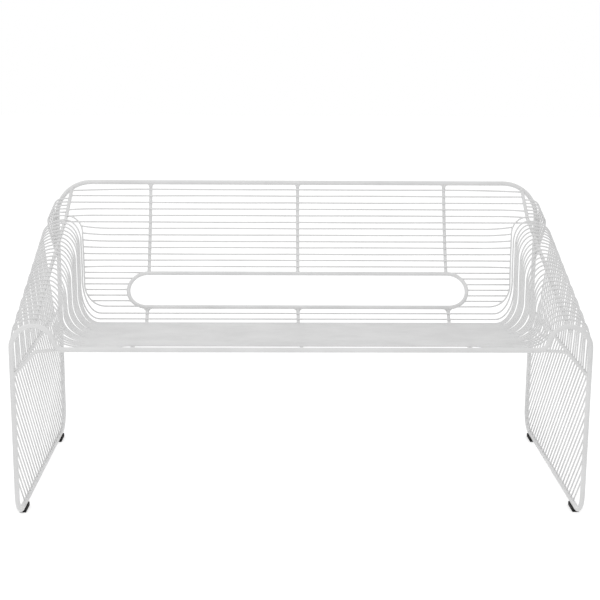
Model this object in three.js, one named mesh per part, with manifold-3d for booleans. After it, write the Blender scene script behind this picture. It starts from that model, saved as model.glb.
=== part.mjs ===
// Garden bench of white powder-coated steel rod and wire. Millimetres, +Z up, +Y to the back.
//
// A closed loop of thick rod makes the legs, arm fronts, seat front and top rail. A shell of
// parallel wires fills it: back wires, then seat wires that turn up at both sides, pass over
// the arm ridges and come down outside to a side rod. Under it each side is a wire grille.

import * as THREE from 'three';
import { mergeVertices } from 'three/addons/utils/BufferGeometryUtils.js';
import Module from 'manifold-3d';

const wasm = await Module();
wasm.setup();

// ---------- driving dimensions ----------

const FRAME_ROD = 12.7;
const RING_ROD = 11;
const RIDGE_ROD = 10;
const STRUT_ROD = 9.5;
const BRACE_ROD = 8;
const WIRE = 4.5;
const ROD_SIDES = 8;
const WIRE_SIDES = 5;
const GAP = 0.3;

const FRONT_HALF_WIDTH = 715;
const REAR_HALF_WIDTH = 692.5;
const DEPTH = 701;
const TOP_Z = 750.5;
const RAIL_Z = 13.7;
const FOOT_BEND = 55;
const TOP_BEND = 100;

const BAR_Z = 451.5;
const ARCH_TOP_Z = 512;
const SIDE_ROD_Z = 380;

const BACK_WIRES = 13;
const RING_TOP_WIRE = 14;
const CORNER_WIRE = 20;
const LAST_WIRE = 46;
const FIRST_WIRE = 20.1;
const BACK_PITCH = 19.1;
const RING_PITCH = 17.8;
const FIRST_SEAT_WIRE = 398;
const SEAT_PITCH = 18.8;

const deg = THREE.MathUtils.degToRad;
const RECLINE_TOP = deg(17.3);
const RECLINE_END = deg(47.7);
const BACK_END = [481.6, 404.6];
const SEAT_SLOPE = deg(7.66);
const SEAT_FRONT_Z = 457.2;

const RIDGE_X = 662;
const RIDGE_FRONT = [46, 519];
const RIDGE_SLOPE = 0.2305;
const RIDGE_PITCH = 23.4;

// Places across each arm: at the rearmost seat wire, and at the foremost.
const SEAT_BEND_X = [551, 535];
const WALL_FOOT_X = [608.5, 615.5];
const WALL_HEAD_X = [616, 612.5];
const OUTER_X = [726.5, 720.5];
const LOW_BEND = [96, 49];
const HIGH_BEND = [63, 88];

const STRUT_OUT = 422;
const STRUTS = [['left', -STRUT_OUT], ['centre', 0], ['right', STRUT_OUT]];
const RING_HALF_LENGTH = 477;
const RING_RADIUS = 53.5;
const RING_CENTRE = 324;

// ---------- points and curves ----------

const vec = (x, y, z) => new THREE.Vector3(x, y, z);
const mirrored = (points) => points.map((p) => vec(-p.x, p.y, p.z));
const sideX = (y) => THREE.MathUtils.lerp(FRONT_HALF_WIDTH, REAR_HALF_WIDTH, y / DEPTH);

// The stations of a bent rod: corner points [x, y, z, bend radius], each corner rounded by the
// arc that touches both its runs.
function bentRod(corners, stepsPerBend = 6) {
  return corners.flatMap(([x, y, z, radius = 0], i) => {
    const corner = vec(x, y, z);
    if (!radius) return [corner];
    const before = vec(...corners[i - 1]).sub(corner).normalize();
    const after = vec(...corners[i + 1]).sub(corner).normalize();
    const half = before.angleTo(after) / 2;
    const inward = before.clone().add(after).normalize();
    const across = after.clone().sub(before).normalize();
    const centre = corner.clone().addScaledVector(inward, radius / Math.sin(half));
    const reach = Math.PI / 2 - half;
    return Array.from({ length: stepsPerBend + 1 }, (_, step) => {
      const angle = THREE.MathUtils.lerp(-reach, reach, step / stepsPerBend);
      const inwards = centre.clone().addScaledVector(inward, -radius * Math.cos(angle));
      return inwards.addScaledVector(across, radius * Math.sin(angle));
    });
  });
}

// Adds stations so that no straight run is longer than this.
function divided(stations, longest) {
  return stations.flatMap((p, i) => {
    if (i === 0) return [p];
    const from = stations[i - 1];
    const parts = Math.ceil(p.distanceTo(from) / longest);
    return Array.from({ length: parts }, (_, part) => from.clone().lerp(p, (part + 1) / parts));
  });
}

// The side view of back and seat: the curve [y, z] that every shell wire's centre lies on.
function meeting(a, headingA, b, headingB) {
  const determinant = headingA[0] * -headingB[1] + headingB[0] * headingA[1];
  const along = ((b[0] - a[0]) * -headingB[1] + headingB[0] * (b[1] - a[1])) / determinant;
  return [a[0] + headingA[0] * along, a[1] + headingA[1] * along];
}

const headingAt = (recline) => [-Math.sin(recline), -Math.cos(recline)];
const seatHeading = [-Math.cos(SEAT_SLOPE), Math.sin(SEAT_SLOPE)];
const backTop = [DEPTH, TOP_Z];
const backKnee = meeting(backTop, headingAt(RECLINE_TOP), BACK_END, headingAt(RECLINE_END));
const seatKnee = meeting(BACK_END, headingAt(RECLINE_END), [0, SEAT_FRONT_Z], seatHeading);
const kneeLength = Math.hypot(BACK_END[0] - seatKnee[0], BACK_END[1] - seatKnee[1]);
const seatStart = [0, 1].map((i) => seatKnee[i] + seatHeading[i] * kneeLength);
const point2 = ([y, z]) => new THREE.Vector2(y, z);
const shellCurve = new THREE.CurvePath();
shellCurve.add(new THREE.QuadraticBezierCurve(point2(backTop), point2(backKnee), point2(BACK_END)));
shellCurve.add(new THREE.QuadraticBezierCurve(point2(BACK_END), point2(seatKnee), point2(seatStart)));
shellCurve.add(new THREE.LineCurve(point2(seatStart), new THREE.Vector2(0, SEAT_FRONT_Z)));
const shellLength = shellCurve.getLength();

// A point of the shell at this distance below the top rail; lift moves it towards the sitter.
function onShell(x, distance, lift = 0) {
  const u = Math.min(distance / shellLength, 1);
  const at = shellCurve.getPointAt(u);
  const along = shellCurve.getTangentAt(u);
  return vec(x, at.x + along.y * lift, at.y - along.x * lift);
}

// How far a point is from a line of stations.
function nearest(point, line) {
  let best = Infinity;
  const closest = new THREE.Vector3();
  for (let i = 1; i < line.length; i++) {
    new THREE.Line3(line[i - 1], line[i]).closestPointToPoint(point, true, closest);
    best = Math.min(best, closest.distanceTo(point));
  }
  return best;
}

// Cuts the end of a rod back until it clears another rod's centre line by this distance.
const TRIM_STEP = 0.2;
function trimEnd(stations, line, clearance) {
  const kept = [stations[0]];
  for (let i = 1; i < stations.length; i++) {
    const from = stations[i - 1];
    const length = from.distanceTo(stations[i]);
    const steps = Math.ceil(length / TRIM_STEP);
    for (let step = 1; step <= steps; step++) {
      const point = from.clone().lerp(stations[i], step / steps);
      if (nearest(point, line) < clearance) {
        kept.push(from.clone().lerp(stations[i], (step - 1) / steps));
        return kept;
      }
    }
    kept.push(stations[i]);
  }
  return kept;
}

const trimStart = (stations, line, clearance) => (
  trimEnd([...stations].reverse(), line, clearance).reverse()
);
const shortened = ([a, b], gap) => {
  const end = b.clone().sub(a).setLength(gap);
  return [a.clone().add(end), b.clone().sub(end)];
};
const touching = (a, b) => (a + b) / 2 + GAP;
const clearOfRod = touching(BRACE_ROD, FRAME_ROD);

// ---------- solids ----------

class RodPath extends THREE.Curve {
  constructor(stations) {
    super();
    this.stations = stations;
  }

  getPointAt(u) {
    const at = u * (this.stations.length - 1);
    const i = Math.min(Math.floor(at), this.stations.length - 2);
    return this.stations[i].clone().lerp(this.stations[i + 1], at - i);
  }

  getTangentAt(u) {
    const i = Math.round(u * (this.stations.length - 1));
    const before = this.stations[Math.max(i - 1, 0)];
    const here = this.stations[i];
    const after = this.stations[Math.min(i + 1, this.stations.length - 1)];
    const incoming = here.clone().sub(before).normalize();
    const outgoing = after.clone().sub(here).normalize();
    return incoming.add(outgoing).normalize();
  }
}

function rod(stations, diameter, sides = ROD_SIDES) {
  const section = new THREE.Shape();
  for (let i = 0; i < sides; i++) {
    const angle = (i / sides) * 2 * Math.PI;
    const x = (Math.cos(angle) * diameter) / 2;
    const y = (Math.sin(angle) * diameter) / 2;
    if (i === 0) section.moveTo(x, y);
    else section.lineTo(x, y);
  }
  return new THREE.ExtrudeGeometry(section, {
    steps: stations.length - 1,
    extrudePath: new RodPath(stations),
  });
}

function solid(geometry) {
  const bare = geometry.clone();
  bare.deleteAttribute('normal');
  bare.deleteAttribute('uv');
  const merged = mergeVertices(bare, 1e-4);
  return new wasm.Manifold(new wasm.Mesh({
    numProp: 3,
    vertProperties: merged.attributes.position.array,
    triVerts: new Uint32Array(merged.index.array),
  }));
}

function geometryOf(manifold) {
  const mesh = manifold.getMesh();
  const geometry = new THREE.BufferGeometry();
  geometry.setAttribute('position', new THREE.BufferAttribute(mesh.vertProperties, 3));
  geometry.setIndex(new THREE.BufferAttribute(mesh.triVerts, 1));
  geometry.computeVertexNormals();
  return geometry;
}

const fused = (geometries) => geometryOf(
  geometries.map(solid).reduce((whole, piece) => whole.add(piece)),
);

// Everything below is laid out from the front legs; the group's shift puts the origin on the
// floor under the middle of the bench.
const bench = new THREE.Group();
bench.position.y = -DEPTH / 2;
const WHITE_COAT = { color: 0xf2f2f0, roughness: 0.45, metalness: 0 };
const BLACK_RUBBER = { color: 0x141414, roughness: 0.8, metalness: 0 };

function place(name, geometry, finish = WHITE_COAT) {
  const mesh = new THREE.Mesh(geometry, new THREE.MeshStandardMaterial(finish));
  mesh.name = name;
  bench.add(mesh);
}

const SIDES = [['left', -1], ['right', 1]];
const onSide = (sign, stations) => (sign > 0 ? stations : mirrored(stations));

// ---------- frame ----------

const ARCH_FOOT_X = 604;
const ARCH_SHOULDER_X = 624;
const SEAT_BAR_BEND = 25;
const ARCH_INNER_BEND = 47;
const ARCH_OUTER_BEND = 56;
const railEnd = FOOT_BEND + 1;
const bothSides = (half) => [...mirrored(half).reverse(), ...half];
const frontPath = bothSides(bentRod([
  [0, 0, BAR_Z],
  [ARCH_FOOT_X, 0, BAR_Z, SEAT_BAR_BEND],
  [ARCH_SHOULDER_X, 0, ARCH_TOP_Z, ARCH_INNER_BEND],
  [FRONT_HALF_WIDTH, 0, ARCH_TOP_Z, ARCH_OUTER_BEND],
  [FRONT_HALF_WIDTH, 0, RAIL_Z, FOOT_BEND],
  [sideX(railEnd), railEnd, RAIL_Z],
]).slice(1));
place('front_frame', rod(frontPath, FRAME_ROD));

const topHalf = bentRod([
  [0, DEPTH, TOP_Z],
  [REAR_HALF_WIDTH, DEPTH, TOP_Z, TOP_BEND],
  [REAR_HALF_WIDTH, DEPTH, TOP_Z - TOP_BEND - 1],
]).slice(1);
const rearLeg = bentRod([
  [REAR_HALF_WIDTH, DEPTH, TOP_Z - TOP_BEND - 1 - GAP],
  [REAR_HALF_WIDTH, DEPTH, RAIL_Z, FOOT_BEND],
  [sideX(DEPTH - railEnd), DEPTH - railEnd, RAIL_Z],
]);
const rearPath = bothSides([...topHalf, ...rearLeg]);
place('top_rail', rod(bothSides(topHalf), FRAME_ROD));
for (const [side, sign] of SIDES) {
  place(`rear_leg_${side}`, rod(onSide(sign, rearLeg), FRAME_ROD));
}

// ---------- lumbar ring, back struts and seat bearers ----------

function ringStations(stepsPerEnd = 12) {
  const straight = RING_HALF_LENGTH - RING_RADIUS;
  const stations = [];
  for (const side of [1, -1]) {
    for (let step = 0; step <= stepsPerEnd; step++) {
      const angle = Math.PI * (step / stepsPerEnd);
      const across = side * (straight + RING_RADIUS * Math.sin(angle));
      stations.push(onShell(across, RING_CENTRE - side * RING_RADIUS * Math.cos(angle)));
    }
  }
  return [...stations, stations[0]];
}

const ringPath = ringStations();
const ringHalf = ringPath.length >> 1;
const bridge = (stations) => [
  stations[0].clone().lerp(stations[1], 0.5),
  ...stations.slice(1, -1),
  stations.at(-1).clone().lerp(stations.at(-2), 0.5),
];
place('lumbar_ring', fused([
  rod(ringPath.slice(0, ringHalf + 2), RING_ROD),
  rod(bridge([...ringPath.slice(ringHalf - 1), ringPath[1]]), RING_ROD),
]));

// The struts lie behind the back wires and the bearers under the seat wires. A strut's top end
// leans forward to meet the underside of the top rail.
const strutLift = -touching(WIRE, STRUT_ROD);
const ringTop = RING_CENTRE - RING_RADIUS;
const ringBottom = RING_CENTRE + RING_RADIUS;
const besideRing = RING_ROD / 2 + GAP;
const besideBar = touching(STRUT_ROD, FRAME_ROD);
const STRUT_KNEE_AT = 17;
const strutReach = FRAME_ROD / 2 + 2 * GAP;
const kneeAngle = Math.atan(-strutLift / STRUT_KNEE_AT);
const straightSeat = shellLength - seatStart[0] / Math.cos(SEAT_SLOPE);
const downShell = (x, from, to, steps) => Array.from({ length: steps + 1 }, (_, step) => (
  onShell(x, THREE.MathUtils.lerp(from, to, step / steps), strutLift)
));
for (const [name, x] of STRUTS) {
  const upright = [
    onShell(x, strutReach * Math.cos(kneeAngle), -strutReach * Math.sin(kneeAngle)),
    ...downShell(x, STRUT_KNEE_AT, ringTop - besideRing, 6),
  ];
  place(`back_strut_${name}`, rod(upright, STRUT_ROD));

  const bearer = [
    ...downShell(x, ringBottom + besideRing, straightSeat, 8),
    onShell(x, shellLength, strutLift),
  ];
  place(`seat_bearer_${name}`, rod(trimEnd(bearer, frontPath, besideBar), STRUT_ROD));
}

// ---------- shell wires ----------

// How far wire number k (1 is next to the top rail) lies below the top rail.
const wireDistance = (k) => {
  if (k <= RING_TOP_WIRE) return FIRST_WIRE + (k - 1) * BACK_PITCH;
  if (k <= CORNER_WIRE) return wireDistance(RING_TOP_WIRE) + (k - RING_TOP_WIRE) * RING_PITCH;
  return FIRST_SEAT_WIRE + (k - CORNER_WIRE - 1) * SEAT_PITCH;
};

// A quarter ellipse from the angle start, in four steps.
const QUARTER = Math.PI / 2;
const QUARTER_STEPS = 4;
const quarter = (x, z, width, height, start, clockwise) => {
  const end = start + (clockwise ? -QUARTER : QUARTER);
  return new THREE.EllipseCurve(x, z, width, height, start, end, clockwise).getPoints(QUARTER_STEPS);
};

// The walls of an arm aren't quite evenly spaced: they stand in small groups, a little tighter
// within a group and further apart where the next begins. Outside, the groups fade to the rear.
const INNER_GROUP = { first: CORNER_WIRE + 1.5, size: 4.3, shift: 1.8 };
const OUTER_GROUP = { first: CORNER_WIRE + 1, size: 3, shift: 2.2 };
const groupShift = (k, { first, size, shift }) => {
  const groups = (k - first) / size;
  return shift * (1 - 2 * (groups - Math.floor(groups)));
};

// The foremost seat wires dip towards the seat bar before they turn up.
const DIP_X = [430, 470];
const DEEPEST_DIP = 4.5;
const DIPPED_WIRES = 5;
const endDip = (k) => DEEPEST_DIP * (Math.max(0, k - LAST_WIRE + DIPPED_WIRES) / DIPPED_WIRES) ** 2;

// One side of a shell wire: up the inner wall, over the arm ridge and down to the outer face of
// the side rod. Its front view is straight runs joined by quarter ellipses; its depth follows
// from its height.
const LOW_BEND_SHARE = 0.45;
const HIGH_BEND_SHARE = 0.53;
const OUTER_BEND = 50;
const INNER_BOW = 0.4;
const ridgeCrest = (y) => RIDGE_FRONT[1] + RIDGE_SLOPE * (y - RIDGE_FRONT[0]);
function armHalf(k) {
  const front = (k - CORNER_WIRE) / (LAST_WIRE - CORNER_WIRE);
  const between = ([rear, fore]) => THREE.MathUtils.lerp(rear, fore, front);
  const [bendX, wallFoot, wallHead] = [SEAT_BEND_X, WALL_FOOT_X, WALL_HEAD_X]
    .map((range) => between(range) + groupShift(k, INNER_GROUP));
  const seat = onShell(0, wireDistance(k));
  const lowest = seat.z - endDip(k);
  const dip = endDip(k) ? [vec(DIP_X[0], seat.y, seat.z), vec(DIP_X[1], seat.y, lowest)] : [];
  const ridgeY = RIDGE_FRONT[0] + (LAST_WIRE - k) * RIDGE_PITCH;
  const ridgeZ = ridgeCrest(ridgeY);
  const height = ridgeZ - lowest;
  const lowBend = Math.min(between(LOW_BEND), height * LOW_BEND_SHARE);
  const highBend = Math.min(between(HIGH_BEND), height * HIGH_BEND_SHARE);
  const foot = quarter(bendX, lowest + lowBend, wallFoot - bendX, lowBend, -QUARTER, false);
  const head = quarter(RIDGE_X, ridgeZ - highBend, RIDGE_X - wallHead, highBend, Math.PI, true);
  const wall = [1 / 3, 2 / 3].map((part) => foot.at(-1).clone().lerp(head[0], part));

  const shift = groupShift(k, OUTER_GROUP) * front;
  const outerWidth = between(OUTER_X) + shift - RIDGE_X;
  const outside = quarter(RIDGE_X, ridgeZ - OUTER_BEND, outerWidth, OUTER_BEND, QUARTER, true);
  const endX = sideX(ridgeY) + touching(WIRE, BRACE_ROD) + (shift + OUTER_GROUP.shift * front) / 4;
  outside.push(new THREE.Vector2(endX, SIDE_ROD_Z - BRACE_ROD / 2));

  const innerY = (z) => {
    const rise = (z - lowest) / height;
    return seat.y + (ridgeY - seat.y) * (rise + INNER_BOW * rise * (1 - rise));
  };
  return [
    ...dip,
    ...[...foot, ...wall, ...head].map((p) => vec(p.x, innerY(p.y), p.y)),
    ...outside.slice(1).map((p) => vec(p.x, ridgeY, p.y)),
  ];
}

const clearOfFrame = touching(WIRE, FRAME_ROD);
const numbered = (k) => String(k).padStart(2, '0');
for (let k = CORNER_WIRE + 1; k <= LAST_WIRE; k++) {
  place(`shell_wire_${numbered(k)}`, rod(bothSides(armHalf(k)), WIRE, WIRE_SIDES));
}

// ---------- arm ridge rods with the corner wires welded to them ----------

// The ridge rod runs under the crests of the shell wires, then steeply up to the top rail.
const RIDGE_END_BEND = 24;
const RIDGE_END_RUN = 12;
const RIDGE_STEEP = [648, DEPTH - 6, TOP_Z - 20];
const RIDGE_TOP = [644, DEPTH, TOP_Z];
const ridgeDrop = touching(WIRE, RIDGE_ROD) * Math.hypot(1, RIDGE_SLOPE);
const ridgeRear = RIDGE_FRONT[0] + (LAST_WIRE - CORNER_WIRE) * RIDGE_PITCH + RIDGE_END_RUN;
const ridgePoint = (y) => [RIDGE_X, y, ridgeCrest(y) - ridgeDrop];
const ridgeWhole = bentRod([
  ridgePoint(0),
  [...ridgePoint(ridgeRear), RIDGE_END_BEND],
  RIDGE_STEEP,
  RIDGE_TOP,
]);
const besideFrame = touching(RIDGE_ROD, FRAME_ROD);
const ridgePath = trimEnd(trimStart(ridgeWhole, frontPath, besideFrame), rearPath, besideFrame);

// The corner wire starts at the ring's lower end, climbs the back beside the ring, crosses the
// ridge rod and bends round to the rear leg. It carries the six short wires beside the ring.
const CREST_AT = 99;
const CREST_LIFT = 7;
const CREST_BEND = 50;
const CREST_WALL_X = 614.5;
const CORNER_START_X = 440;
const RING_WIRE_START_X = 400;
const CORNER_WALL_X = 602;
const CORNER_LOW_BEND = [65, 80];
const CORNER_OUT_X = 723;
const CORNER_OUT_BEND = 34;
const CORNER_DROP = 150;
const OUTER_FALL = 3;
const LONGEST_STEP = 50;
const crest = onShell(RIDGE_X, CREST_AT, CREST_LIFT);
const lowest = -wireDistance(CORNER_WIRE);
const [lowWidth, lowHeight] = CORNER_LOW_BEND;
const cornerFlat = [
  new THREE.Vector2(CORNER_START_X, lowest),
  ...quarter(CORNER_WALL_X - lowWidth, lowest + lowHeight, lowWidth, lowHeight, -QUARTER, false),
  ...quarter(RIDGE_X, -CREST_AT - CREST_BEND, RIDGE_X - CREST_WALL_X, CREST_BEND, Math.PI, true),
];
const cornerBack = divided(cornerFlat.map((p) => vec(p.x, p.y, 0)), LONGEST_STEP).map((p) => {
  const lift = CREST_LIFT * Math.max(0, (p.x - CREST_WALL_X) / (RIDGE_X - CREST_WALL_X));
  return onShell(p.x, -p.y, lift);
});
const cornerOutside = bentRod([
  [crest.x, crest.y, crest.z],
  [CORNER_OUT_X, crest.y + CREST_LIFT, crest.z - OUTER_FALL, CORNER_OUT_BEND],
  [REAR_HALF_WIDTH, DEPTH, crest.z - CORNER_DROP],
]);
const cornerWhole = [...cornerBack, ...cornerOutside.slice(1)];
const clearOfRing = touching(WIRE, RING_ROD);
const cornerWire = trimEnd(trimStart(cornerWhole, ringPath, clearOfRing), rearPath, clearOfFrame);
const ringWires = [];
for (let k = BACK_WIRES + 1; k < CORNER_WIRE; k++) {
  const reach = [RING_WIRE_START_X, CREST_WALL_X].map((x) => onShell(x, wireDistance(k)));
  ringWires.push(trimStart(trimEnd(reach, cornerWire, WIRE / 4), ringPath, clearOfRing));
}

// Five short wires start on the steep end of the ridge rod and turn down outside to the leg.
const SHORT_WIRES = 5;
const SHORT_TOP_Z = 706;
const SHORT_PITCH = 9.4;
const SHORT_BEND = 28;
const SHORT_DROP = 140;
const SHORT_OUT_X = 702;
const shortWires = Array.from({ length: SHORT_WIRES }, (_, i) => {
  const z = SHORT_TOP_Z - i * SHORT_PITCH;
  const over = ridgePath.findIndex((p) => p.z > z);
  const [below, above] = [ridgePath[over - 1], ridgePath[over]];
  const start = below.clone().lerp(above, (z - below.z) / (above.z - below.z));
  const outX = THREE.MathUtils.lerp(SHORT_OUT_X, CORNER_OUT_X, i / (SHORT_WIRES - 1));
  return trimEnd(bentRod([
    [start.x, start.y, start.z],
    [outX, start.y, start.z - OUTER_FALL, SHORT_BEND],
    [REAR_HALF_WIDTH, DEPTH, start.z - SHORT_DROP],
  ]), rearPath, clearOfFrame);
});
for (const [side, sign] of SIDES) {
  const wires = [cornerWire, ...ringWires, ...shortWires];
  place(`arm_ridge_${side}`, fused([
    rod(onSide(sign, ridgePath), RIDGE_ROD),
    ...wires.map((wire) => rod(onSide(sign, wire), WIRE, WIRE_SIDES)),
  ]));
}

// ---------- back wires ----------

// The ends are not quite straight: wire 1 sags beside the top corners, the wires that end on the
// ridge rod near the corner wire's crest drop a little, and those that end on the corner wire
// rise, the upper ones most.
const TOP_WIRE_SAG = 4.5;
const CREST_DROP = 3;
const CREST_WIRES = [4, 5];
const WALL_WIRES = [7, BACK_WIRES];
const WALL_RISE = [6, -2];
const END_RUN = 80;
const endShape = (k, reach) => {
  if (k === 1) return { run: reach - STRUT_OUT, rise: -TOP_WIRE_SAG };
  if (CREST_WIRES.includes(k)) return { run: END_RUN, rise: -CREST_DROP };
  if (k < WALL_WIRES[0]) return { run: END_RUN, rise: 0 };
  return { run: END_RUN, rise: THREE.MathUtils.mapLinear(k, ...WALL_WIRES, ...WALL_RISE) };
};
for (let k = 1; k <= BACK_WIRES; k++) {
  const distance = wireDistance(k);
  const straight = [onShell(0, distance), onShell(REAR_HALF_WIDTH, distance)];
  const toCorner = trimEnd(straight, cornerWire, touching(WIRE, WIRE));
  const toRidge = trimEnd(toCorner, ridgePath, touching(WIRE, RIDGE_ROD));
  const reach = toRidge.at(-1).x;
  const { run, rise } = endShape(k, reach);
  const half = trimEnd([
    onShell(reach - run, distance),
    onShell(reach - run / 2, distance - rise / 3),
    onShell(reach, distance - rise),
  ], cornerWire, touching(WIRE, WIRE));
  const clear = trimEnd(half, ridgePath, touching(WIRE, RIDGE_ROD));
  place(`back_wire_${numbered(k)}`, rod(bothSides(clear), WIRE, WIRE_SIDES));
}

// ---------- side grilles: bottom rail, side rod and leaning wires ----------

const RAIL_SIDES = 10;
const LEAN = Math.tan(deg(41));
const SIDE_PITCH = 24.7;
const FIRST_SIDE_WIRE = 94;
const LAST_SIDE_WIRE = DEPTH + 278;
const inSide = (y, z) => vec(sideX(y), y, z);
const railLine = [inSide(railEnd, RAIL_Z), inSide(DEPTH - railEnd, RAIL_Z)];
const sideRodWhole = [inSide(0, SIDE_ROD_Z), inSide(DEPTH, SIDE_ROD_Z)];
const sideRod = trimEnd(trimStart(sideRodWhole, frontPath, clearOfRod), rearPath, clearOfRod);
const leaningWires = [];
for (let foot = FIRST_SIDE_WIRE; foot < LAST_SIDE_WIRE; foot += SIDE_PITCH) {
  const headY = Math.max(foot - (SIDE_ROD_Z - RAIL_Z) * LEAN, 0);
  const footY = Math.min(foot, DEPTH);
  const line = [headY, footY].map((y) => inSide(y, RAIL_Z + (foot - y) / LEAN));
  leaningWires.push(trimEnd(trimStart(line, frontPath, clearOfFrame), rearPath, clearOfFrame));
}
for (const [side, sign] of SIDES) {
  place(`side_grille_${side}`, fused([
    rod(onSide(sign, shortened(railLine, GAP)), FRAME_ROD, RAIL_SIDES),
    rod(onSide(sign, sideRod), BRACE_ROD),
    ...leaningWires.map((wire) => rod(onSide(sign, wire), WIRE, WIRE_SIDES)),
  ]));
}

// ---------- arm braces: from behind each end of the seat bar, then down to the leg ----------

const BRACE_START_X = 585;
const BRACE_BEND_X = 658;
const BRACE_BEND = 18;
const BRACE_DROP = 2;
const BRACE_FALL = 6;
const BRACE_FOOT_Z = SIDE_ROD_Z + 3;
const braceY = clearOfRod + GAP;
const braceZ = BAR_Z - BRACE_DROP;
const bracePath = trimEnd(bentRod([
  [BRACE_START_X, braceY, braceZ],
  [BRACE_BEND_X, braceY, braceZ - BRACE_FALL, BRACE_BEND],
  [FRONT_HALF_WIDTH, 0, BRACE_FOOT_Z],
]), frontPath, clearOfRod);
for (const [side, sign] of SIDES) {
  place(`arm_brace_${side}`, rod(onSide(sign, bracePath), BRACE_ROD));
}

// ---------- foot pads ----------

const PAD_LENGTH = 50;
const PAD_WIDTH = 18;
const PAD_HEIGHT = 11;
const PAD_AT = 82;
for (const [side, sign] of SIDES) {
  const groove = solid(rod(onSide(sign, railLine), FRAME_ROD + 2 * GAP, 2 * ROD_SIDES));
  for (const [end, y] of [['front', PAD_AT], ['rear', DEPTH - PAD_AT]]) {
    const block = new THREE.BoxGeometry(PAD_WIDTH, PAD_LENGTH, PAD_HEIGHT);
    block.translate(sign * sideX(y), y, PAD_HEIGHT / 2);
    place(`foot_pad_${end}_${side}`, geometryOf(solid(block).subtract(groove)), BLACK_RUBBER);
  }
}

export default bench;
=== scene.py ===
import bpy
import numpy as np
from mathutils import Matrix


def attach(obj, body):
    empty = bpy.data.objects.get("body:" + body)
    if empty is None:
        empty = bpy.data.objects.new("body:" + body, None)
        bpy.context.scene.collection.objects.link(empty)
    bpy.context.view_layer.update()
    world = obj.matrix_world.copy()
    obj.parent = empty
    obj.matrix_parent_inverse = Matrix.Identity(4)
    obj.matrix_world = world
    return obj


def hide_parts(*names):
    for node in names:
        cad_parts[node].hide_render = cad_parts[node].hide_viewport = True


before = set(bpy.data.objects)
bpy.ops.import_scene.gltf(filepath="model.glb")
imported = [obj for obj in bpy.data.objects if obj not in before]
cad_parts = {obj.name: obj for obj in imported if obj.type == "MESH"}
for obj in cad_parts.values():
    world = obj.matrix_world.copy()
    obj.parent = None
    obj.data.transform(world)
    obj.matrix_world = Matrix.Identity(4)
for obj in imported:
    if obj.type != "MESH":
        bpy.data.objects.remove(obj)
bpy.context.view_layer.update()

# ---- Camera -------------------------------------------------------------------------------
# A long lens at standing height, a little left of the bench's middle, looks slightly down. The
# bench stands on the floor, centred on the origin, with its back towards +Y. Sizes are in
# metres all through, and angles in radians.
CAMERA_AT = np.array([-0.0823, -3.8349, 1.4551])
CAMERA_DOWN = 0.2463
CAMERA_RIGHT = 0.0219
CAMERA_ROLL = 0.0073


def stand(thing, at, right, up, forward):
    """Puts a camera or a lamp at a point, with its own X to the right, Y up and -Z forward."""
    turn = np.eye(4)
    turn[:3, :3] = np.column_stack([right, up, -forward])
    turn[:3, 3] = at
    thing.matrix_world = Matrix(turn.tolist())
    bpy.context.scene.collection.objects.link(thing)


forward = np.array([
    np.sin(CAMERA_RIGHT) * np.cos(CAMERA_DOWN),
    np.cos(CAMERA_RIGHT) * np.cos(CAMERA_DOWN),
    -np.sin(CAMERA_DOWN),
])
level = np.array([np.cos(CAMERA_RIGHT), -np.sin(CAMERA_RIGHT), 0.0])
upright = np.cross(level, forward)
image_right = np.cos(CAMERA_ROLL) * level + np.sin(CAMERA_ROLL) * upright
image_up = np.cos(CAMERA_ROLL) * upright - np.sin(CAMERA_ROLL) * level

camera = bpy.data.objects.new("camera", bpy.data.cameras.new("camera"))
camera.data.lens = 88.19
camera.data.sensor_width = 36.0
stand(camera, CAMERA_AT, image_right, image_up, forward)
bpy.context.scene.camera = camera

# ---- Perimeter rod ------------------------------------------------------------------------
# One loop of half-inch steel bar, bent cold: front legs, arched arm fronts and the seat bar in
# front, and rear legs and the top rail behind. The bottom rails join the two on each side.
ROD = 0.0127
DEPTH = 0.701
FRONT_HALF = 0.715
REAR_HALF = 0.6925
TOP_Z = 0.7505
TOP_BEND = 0.1
BAR_Z = 0.4515
BAR_HALF = 0.604
BAR_BEND = 0.025
ARCH_Z = 0.512
ARCH_HALF = 0.624
ARCH_INNER_BEND = 0.047
ARCH_OUTER_BEND = 0.056
RAIL_Z = 0.0137
RAIL_END = 0.056
FOOT_BEND = 0.055

# Everything but the feet is steel under one coat of white powder, baked on after welding. The
# coat is smooth and satin, with a fine orange peel and a faint unevenness in its tone.
COAT_WHITE = (0.90, 0.90, 0.90, 1.0)
COAT_SHADE = (0.83, 0.83, 0.83, 1.0)
COAT_ROUGHNESS = (0.34, 0.46)


def node(tree, kind, links=(), **settings):
    """Adds a shader node, sets its inputs by name, and wires (input, from node, output)."""
    made = tree.nodes.new(kind)
    for name, value in settings.items():
        if name in made.inputs:
            made.inputs[name].default_value = value
        else:
            setattr(made, name, value)
    for name, source, output in links:
        tree.links.new(source.outputs[output], made.inputs[name])
    return made


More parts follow.
